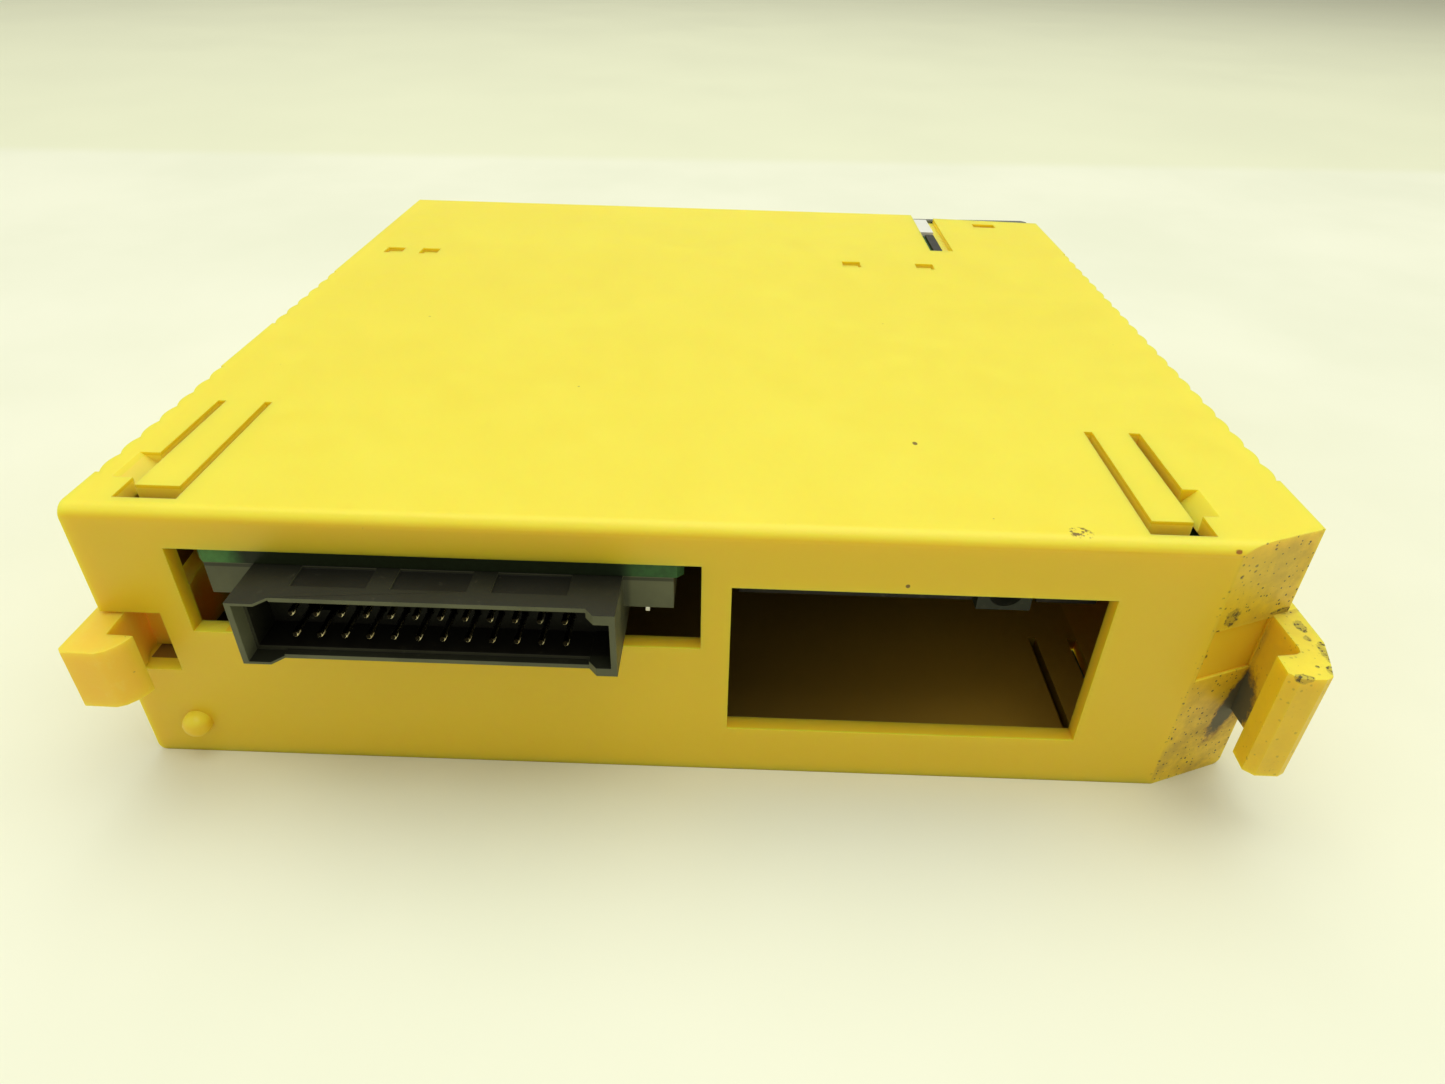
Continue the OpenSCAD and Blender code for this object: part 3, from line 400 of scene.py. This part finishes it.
def plug_black():
    """The rack plug's black moulding, with painted light and shade: grey-green where its faces do
    not face up, and near black on top, in its cavity, in its pockets and towards the back.
    """
    g = Graph("plug", Specular_IOR_Level=0.22)
    cloud = g.noise(140.0, 4.0, 0.6)
    colour = g.mix(g.ramp(cloud, 0.3, 0.7), rgb(86, 88, 64), rgb(102, 104, 76))
    # Painted light and shade: grey-green where the faces do not face up, near black on top
    colour = g.paint(colour, g.ramp(g.facing_z, 0.3, 0.8), rgb(25, 26, 17), 0.92)
    # Painted shade in the cavity, in the pockets and towards the back
    cavity = g.times(g.zone(**PLUG_CAVITY, soft=0.1), g.ramp(g.y, -4.7, -4.4))
    colour = g.paint(colour, cavity, rgb(20, 18, 12), 0.9)
    colour = g.paint(colour, g.zone(**PLUG_POCKETS, soft=0.03), rgb(24, 24, 18), 0.6)
    back = g.times(g.ramp(g.y, -3.4, -1.0), g.zone(x=(18, 58), soft=0.3))
    colour = g.paint(colour, back, rgb(24, 24, 18), 0.45)
    settled = g.ramp(g.noise(900.0, 6.0, 0.75), 0.58, 0.85)
    colour = g.paint(colour, settled, rgb(136, 134, 108), 0.25)
    grain = g.noise(1800.0, 3.0, 0.6)
    return g.finish(colour, g.ramp(cloud, 0.3, 0.7, 0.44, 0.56), g.bump(grain, 0.18, 0.00006))


def metal(name, light, deep):
    """Bare metal with fine scratches and patches of tarnish."""
    g = Graph(name, Metallic=1.0)
    scratches = g.noise(900.0, 4.0, 0.6)
    tarnish = g.ramp(g.noise(260.0, 4.0, 0.6), 0.45, 0.8)
    colour = g.mix(tarnish, light, deep)
    rough = g.ramp(scratches, 0.3, 0.7, 0.18, 0.36)
    return g.finish(colour, rough, g.bump(scratches, 0.08, 0.00004))


def pin_gold():
    """Gold with painted light: a painted highlight under each pin's nose and along one side of
    its shank, and a near-black painted reflection on the flat tip and the rest of the shank.
    """
    g = Graph("pin_gold", Metallic=1.0)
    worn = g.ramp(g.noise(700.0, 3.0, 0.6), 0.35, 0.7)
    gold = g.mix(worn, rgb(255, 244, 190), rgb(252, 228, 160))
    nose = g.ramp(g.y, -4.4, -4.2, 1.0, 0.0)
    lower = g.math("MULTIPLY_ADD", g.facing_x, -0.45, g.facing_z)
    lower = g.ramp(lower, -0.3, -0.16, 1.0, 0.0)
    under = g.times(lower, nose, g.ramp(g.facing_y, -0.93, -0.86))
    edge = g.math("MULTIPLY", g.ramp(g.facing_x, 0.45, 0.8), 0.5)
    shine = g.most(under, g.times(edge, g.ramp(g.y, -3.4, -1.5, 1.0, 0.2)))
    # Painted highlight where shine is, near-black painted reflection elsewhere; under the nose
    # the gold is made non-metallic so that its bright colour shows
    colour = g.mix(shine, rgb(24, 20, 11), gold)
    metallic = g.math("MULTIPLY_ADD", under, -0.9, 1.0)
    return g.finish(colour, g.ramp(worn, 0.0, 1.0, 0.22, 0.3), Metallic=metallic)


def tracks(g, axis, cut):
    """Copper tracks across an axis, on the patches where the noise is above the cut."""
    lane = g.math("FRACT", g.math("DIVIDE", axis, TRACK_PITCH))
    line = g.math("LESS_THAN", g.math("ABSOLUTE", g.math("SUBTRACT", lane, 0.5)), 0.16)
    patch = g.noise(90.0, 0.0, where=g.stretched(1, 1, 0))
    return g.times(line, g.math("GREATER_THAN", patch, cut))


def board_green():
    """Green lacquer over copper tracks, with bare sawn edges, and painted shade on the front edge
    above the plug and on the front strip beyond X 66; the board is also darker towards its far
    end.
    """
    g = Graph("circuit_board", Specular_IOR_Level=0.12)
    weave = g.noise(1400.0, 2.0, 0.5)
    colour = g.mix(g.ramp(weave, 0.35, 0.65), rgb(44, 96, 52), rgb(62, 122, 66))
    copper = g.most(tracks(g, g.x, 0.52), tracks(g, g.y, 0.60))
    copper = g.times(copper, g.ramp(g.y, 1.5, 2.5))
    colour = g.paint(colour, copper, rgb(84, 150, 78), 0.7)
    # Painted shade on the board's front edge above the plug and on its front strip beyond X 66
    board_shade = g.times(g.zone(**ABOVE_PLUG, soft=1.5), g.ramp(g.y, 1.0, 2.0, 1.0, 0.0))
    shaded = g.times(g.ramp(g.x, 66.0, 68.0), g.ramp(g.y, 3.0, 4.0, 1.0, 0.0))
    board_shade = g.most(board_shade, shaded)
    colour = g.paint(colour, board_shade, rgb(34, 36, 22), 0.96)
    # The board is darker from X 48 towards its far end
    far_end = g.math("MULTIPLY", g.ramp(g.x, 48.0, 60.0), 0.6)
    colour = g.paint(colour, far_end, rgb(30, 44, 28))
    sawn = g.most(g.ramp(g.y, 0.25, 0.35, 1.0, 0.0), g.ramp(g.z, 28.2, 28.25, 1.0, 0.0))
    sawn = g.times(sawn, g.math("SUBTRACT", 1.0, g.most(board_shade, far_end)))
    colour = g.paint(colour, sawn, rgb(96, 136, 72), 0.5)
    return g.finish(colour, g.ramp(weave, 0.3, 0.7, 0.28, 0.42), g.bump(copper, 0.3, 0.00004))


def clear_plastic(name, amount, light, deep, scuffed, rough):
    """Clear plastic that is slightly hazy, and rougher along its scuffs."""
    g = Graph(name, Transmission_Weight=amount, IOR=1.49)
    haze = g.noise(60.0, 4.0, 0.6)
    colour = g.mix(g.ramp(haze, 0.3, 0.7), deep, light)
    scuffs = g.noise(500.0, 6.0, 0.7, where=g.stretched(0.3, 1, 1))
    return g.finish(colour, g.ramp(scuffs, scuffed, 0.85, *rough))


def card():
    """Paper with faint rules between its columns."""
    g = Graph("card")
    fibre = g.noise(1500.0, 6.0, 0.7)
    colour = g.mix(g.ramp(fibre, 0.3, 0.7), rgb(236, 234, 224), rgb(246, 245, 238))
    lane = g.math("FRACT", g.math("DIVIDE", g.math("SUBTRACT", g.x, CARD_START), CARD_PITCH))
    rule = g.math("LESS_THAN", g.math("ABSOLUTE", g.math("SUBTRACT", lane, 0.5)), 0.02)
    colour = g.paint(colour, rule, rgb(120, 120, 116), 0.6)
    return g.finish(colour, 0.8, g.bump(fibre, 0.2, 0.00004))


# Every finish that a piece can have
M = {
    "housing": case_yellow(),
    "frame": frame_yellow(),
    "lever": lever_yellow(),
    "plug": plug_black(),
    "connector": moulded("connector", rgb(46, 48, 40), rgb(36, 38, 32)),
    "terminal": moulded("terminal_moulding", rgb(48, 48, 46), rgb(34, 34, 33)),
    "chip": moulded("chip", rgb(44, 44, 42), rgb(30, 30, 30), scale=2600.0),
    "network": moulded("network", rgb(42, 38, 32), rgb(28, 25, 22), shine=0.15),
    "holder": moulded("holder", rgb(50, 54, 41), rgb(40, 44, 33), shine=0.2),
    "light_pipe": moulded("light_pipe", rgb(238, 240, 230), rgb(226, 228, 216), (0.25, 0.35)),
    "lamp": moulded("lamp", rgb(222, 226, 206), rgb(206, 212, 190), (0.12, 0.2), dust=0.0),
    "fuse": moulded("fuse", rgb(220, 220, 210), rgb(204, 204, 192), (0.2, 0.3)),
    "can": moulded("can", rgb(54, 62, 84), rgb(40, 46, 66), (0.25, 0.4)),
    "gold": metal("gold_contact", rgb(232, 196, 108), rgb(176, 138, 66)),
    "pin": pin_gold(),
    "nickel": metal("plated_steel", rgb(206, 204, 198), rgb(150, 148, 140)),
    "steel": metal("steel", rgb(186, 186, 186), rgb(130, 130, 128)),
    "brass": metal("brass_insert", rgb(206, 172, 92), rgb(150, 120, 60)),
    "board": board_green(),
    "smoked": clear_plastic(
        "smoked_window", 0.55, rgb(134, 138, 124), rgb(118, 122, 110), 0.5, (0.05, 0.25)
    ),
    "clear": clear_plastic(
        "clear_cover", 1.0, rgb(240, 244, 240), rgb(226, 234, 228), 0.45, (0.05, 0.28)
    ),
    "card": card(),
}

# ---------------------------------------------------------------- CAD nodes

# Vertices closer than this are one, in metres, and faces closer than this to flat are one
WELD = 2e-6
FLAT = math.radians(0.4)
# Edges sharper than this are rounded
SHARP = math.radians(28.0)


def dress(node, material, edge):
    """Gives a CAD node its finish, and rounds its edges by the given radius in millimetres."""
    part = nodes[node]
    part.data.materials.clear()
    part.data.materials.append(M[material])
    if not edge:
        return
    weld = part.modifiers.new("join", "WELD")
    weld.merge_threshold = WELD
    flat = part.modifiers.new("flat", "DECIMATE")
    flat.decimate_type = "DISSOLVE"
    flat.angle_limit = FLAT
    round_ = part.modifiers.new("edge", "BEVEL")
    round_.width = edge * MM
    round_.segments = 2
    round_.limit_method = "ANGLE"
    round_.angle_limit = SHARP
    round_.miter_outer = "MITER_ARC"
    even = part.modifiers.new("even", "WEIGHTED_NORMAL")
    even.keep_sharp = False


# Each CAD node with its finish and the radius of its edges in millimetres
FINISH = {
    "case_shell": ("housing", 0.25),
    "front_frame": ("frame", 0.15),
    "led_window": ("smoked", 0.25),
    "light_guide": ("light_pipe", 0.12),
    "status_leds": ("lamp", 0.05),
    "display_board": ("board", 0.05),
    "riser_board": ("board", 0.05),
    "display_connector": ("connector", 0.1),
    "main_board": ("board", 0.06),
    "board_screws": ("nickel", 0.06),
    "bus_connector": ("plug", 0.1),
    "bus_pins": ("gold", 0.05),
    "board_locks": ("nickel", 0.05),
    "bus_controller": ("chip", 0.06),
    "bus_transceivers": ("chip", 0.06),
    "optocouplers": ("chip", 0.06),
    "output_drivers": ("chip", 0.06),
    "resistor_networks": ("network", 0.3),
    "fuse_holder": ("holder", 0.15),
    "fuse": ("fuse", 0.1),
    "capacitors": ("can", 0.25),
    "chip_resistors": ("chip", 0.05),
    "terminal_socket": ("connector", 0.15),
    "socket_contacts": ("gold", 0.0),
    "threaded_inserts": ("brass", 0.06),
    "latch_pin": ("steel", 0.1),
    "latch_spring": ("steel", 0.0),
    "latch_lever": ("lever", 0.3),
    "terminal_block": ("terminal", 0.15),
    "terminal_blades": ("gold", 0.0),
    "terminal_plates": ("nickel", 0.08),
    "terminal_screws": ("nickel", 0.08),
    "block_screws": ("nickel", 0.1),
    "terminal_cover": ("clear", 0.2),
    "label_card": ("card", 0.0),
}
for name, (finish, edge) in FINISH.items():
    dress(name, finish, edge)

# ---------------------------------------------------------------- modelled pieces

# The plug's pins: radius, columns, where the lower and the upper row's legs turn up,
# how far the upper row stands back, and where the round shank meets the square leg
PIN_R, PIN_COLUMNS = 0.33, 12
PIN_BENDS = (12.94, 10.4)
UPPER_BACK = 0.25
SHANK_END, LEG_START = 0.5, 0.4
# The share of a pin's tip that is flat, and how far back its rounded edge reaches, in radii
TIP_FLAT, TIP_ROUND = 0.6, 0.9
TIP_STEPS, PIN_SIDES = 8, 24


def turned(bm, x, z, profile):
    """Adds a shape turned round a line along Y, from pairs of radius and Y."""
    rings = []
    for radius, y in profile:
        if radius == 0:
            rings.append([bm.verts.new((x, y, z))])
            continue
        rings.append(
            [
                bm.verts.new((x + radius * math.cos(a), y, z + radius * math.sin(a)))
                for a in (k * math.tau / PIN_SIDES for k in range(PIN_SIDES))
            ]
        )
    for one, two in zip(rings, rings[1:]):
        for k in range(PIN_SIDES):
            other = (k + 1) % PIN_SIDES
            near_side = one[:1] if len(one) == 1 else [one[other], one[k]]
            bm.faces.new(near_side + [two[k], two[other]]).smooth = True
    bm.faces.new(list(reversed(rings[-1])))


def block(bm, low, high):
    """Adds a box between two corners."""
    for v in bmesh.ops.create_cube(bm, size=1.0)["verts"]:
        v.co = [lo + (hi - lo) * (c + 0.5) for c, lo, hi in zip(v.co, low, high)]


def pins():
    """The plug's pins, each with a rounded edge at its tip and a bent square leg behind."""
    low, high = (Vector(corner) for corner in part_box("bus_pins"))
    r = PIN_R * MM
    pitch = PIN_PITCH * MM
    first = (low.x + high.x) / 2 - (PIN_COLUMNS - 1) * pitch / 2
    shank_end = at(0, SHANK_END, 0).y
    leg_start = at(0, LEG_START, 0).y
    bm = bmesh.new()
    for row, nose in ((0, low.y), (1, low.y + UPPER_BACK * MM)):
        z = low.z + r + row * pitch
        bend = at(0, PIN_BENDS[row], 0).y
        profile = [(0.0, nose)]
        for step in reversed(range(TIP_STEPS + 1)):
            t = step * math.pi / 2 / TIP_STEPS
            out = TIP_FLAT + (1 - TIP_FLAT) * math.cos(t)
            profile.append((r * out, nose + TIP_ROUND * r * (1 - math.sin(t))))
        profile.append((r, shank_end))
        for i in range(PIN_COLUMNS):
            x = first + i * pitch
            turned(bm, x, z, profile)
            block(bm, (x - r, leg_start, z - r), (x + r, bend, z + r))
            block(bm, (x - r, bend - 2 * r, z - r), (x + r, bend, high.z))
    bmesh.ops.recalc_face_normals(bm, faces=bm.faces)
    mesh = bpy.data.meshes.new("plug_pins")
    bm.to_mesh(mesh)
    bm.free()
    piece = bpy.data.objects.new("plug_pins", mesh)
    scene.collection.objects.link(piece)
    mesh.materials.append(M["pin"])
    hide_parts("bus_pins")
    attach(piece, "case")


pins()

# The latch's torsion spring: its axis, the radii of its coil and its wire, and its turns,
# then each leg's length and its lean in degrees
SPRING_X, SPRING_Y = 6.0, 22.0
COIL_R, WIRE_R = 1.9, 0.33
TURNS, COIL_STEPS = 3.5, 112
FIXED_LEG, FREE_LEG = (10.5, 9.0), (12.0, 8.0)
LEG_STEPS = 6


def wire(name, points, body):
    """A round steel wire through the points, riding on a body."""
    curve = bpy.data.curves.new(name, "CURVE")
    curve.dimensions = "3D"
    curve.bevel_depth = WIRE_R * MM
    curve.bevel_resolution = 4
    curve.use_fill_caps = True
    path = curve.splines.new("POLY")
    path.points.add(len(points) - 1)
    for point, place in zip(path.points, points):
        point.co = (*place, 1)
    curve.materials.append(M["steel"])
    piece = bpy.data.objects.new(name, curve)
    scene.collection.objects.link(piece)
    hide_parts("latch_spring")
    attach(piece, body)


def spring_leg(start_x, z, length, lean):
    """Points along a straight leg that starts beside the coil and goes into the case."""
    side = -math.sin(math.radians(lean))
    ahead = math.cos(math.radians(lean))
    steps = (length * k / LEG_STEPS for k in range(LEG_STEPS + 1))
    return [at(start_x + side * step, SPRING_Y + ahead * step, z) for step in steps]


def spring():
    """The latch's spring: its coil and one leg stay, and the other leg rides on the lever."""
    low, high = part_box("latch_spring")
    z1 = Vector(low).z / MM + WIRE_R
    z2 = Vector(high).z / MM - WIRE_R
    coil = []
    for i in range(1, COIL_STEPS + 1):
        turn = math.pi - i / COIL_STEPS * TURNS * math.tau
        z = z1 + (z2 - z1) * i / COIL_STEPS
        x, y = SPRING_X + COIL_R * math.cos(turn), SPRING_Y + COIL_R * math.sin(turn)
        coil.append(at(x, y, z))
    fixed = spring_leg(SPRING_X - COIL_R, z1, *FIXED_LEG)
    wire("spring_turns", fixed[::-1] + coil, "case")
    wire("spring_leg", spring_leg(SPRING_X + COIL_R, z2, *FREE_LEG), "latch")


spring()

# ---------------------------------------------------------------- floor, light, camera


def floor():
    """A pale floor, with painted shade, dark brown, right under the case, where little light
    reaches.
    """
    mesh = bpy.data.meshes.new("floor")
    bm = bmesh.new()
    bmesh.ops.create_grid(bm, x_segments=8, y_segments=8, size=3.0)
    bm.to_mesh(mesh)
    bm.free()
    plane = bpy.data.objects.new("floor", mesh)
    scene.collection.objects.link(plane)
    g = Graph("floor")
    cloud = g.noise(9.0, 4.0, 0.6)
    colour = g.mix(g.ramp(cloud, 0.3, 0.7), rgb(234, 237, 213), rgb(239, 241, 219))
    far = g.ramp(g.math("MULTIPLY_ADD", g.x, -0.0706, g.y), 330.0, 350.0)
    colour = g.paint(colour, far, rgb(230, 233, 200), 0.8)
    # Painted shade: dark brown under the case, where little light reaches
    colour = g.paint(colour, g.zone(**UNDER_CASE, soft=3.0), rgb(76, 50, 20), 0.95)
    mesh.materials.append(g.finish(colour, g.ramp(cloud, 0.3, 0.7, 0.5, 0.6)))


floor()

# Name, place and aim in metres, size in metres, watts and colour
LAMPS = (
    ("overhead", (0.1, 0.22, 1.4), (0, 0.1, 0), (1.9, 1.6), 20.7, (0.985, 1.0, 0.93)),
    ("front", (0.1, -1.5, 1.0), (0, -0.1, 0), (1.2, 0.9), 1.0, (1.0, 1.0, 0.95)),
    ("side", (-1.2, -0.3, 0.9), (0, 0, 0), (0.9, 0.9), 2.0, (1.0, 0.98, 0.94)),
)
SKY_COLOUR, SKY_STRENGTH = (1.0, 0.97, 0.88, 1), 0.4


def lamp(name, place, aim, size, power, colour):
    data = bpy.data.lights.new(name, "AREA")
    data.shape = "RECTANGLE"
    data.size, data.size_y = size
    data.energy = power
    data.color = colour
    made = bpy.data.objects.new(name, data)
    scene.collection.objects.link(made)
    made.location = place
    made.rotation_mode = "QUATERNION"
    made.rotation_quaternion = (Vector(aim) - Vector(place)).to_track_quat("-Z", "Y")


for row in LAMPS:
    lamp(*row)

world = bpy.data.worlds.new("studio")
scene.world = world
world.use_nodes = True
sky = world.node_tree.nodes["Background"]
sky.inputs["Color"].default_value = SKY_COLOUR
sky.inputs["Strength"].default_value = SKY_STRENGTH

# The photograph's viewpoint, in millimetres from the case's corner, with the directions
# of the camera's right, up and back as the columns of its turn
EYE = (68.3659, -77.6317, 85.1815)
EYE_TURN = (
    (0.9993961, -0.0339594, 0.0073636),
    (0.0250399, 0.5568822, -0.8302139),
    (0.0240929, 0.8298969, 0.5573963),
)
EYE_LENS, EYE_SENSOR = 22.99, 36.0

eye = bpy.data.cameras.new("camera")
eye.sensor_width = EYE_SENSOR
eye.lens = EYE_LENS
eye.clip_start = 0.01
eye.clip_end = 20.0
camera = bpy.data.objects.new("camera", eye)
scene.collection.objects.link(camera)
camera.matrix_world = Matrix.Translation(at(*EYE)) @ Matrix(EYE_TURN).to_4x4()
scene.camera = camera
scene.view_settings.view_transform = "Standard"
scene.view_settings.look = "None"
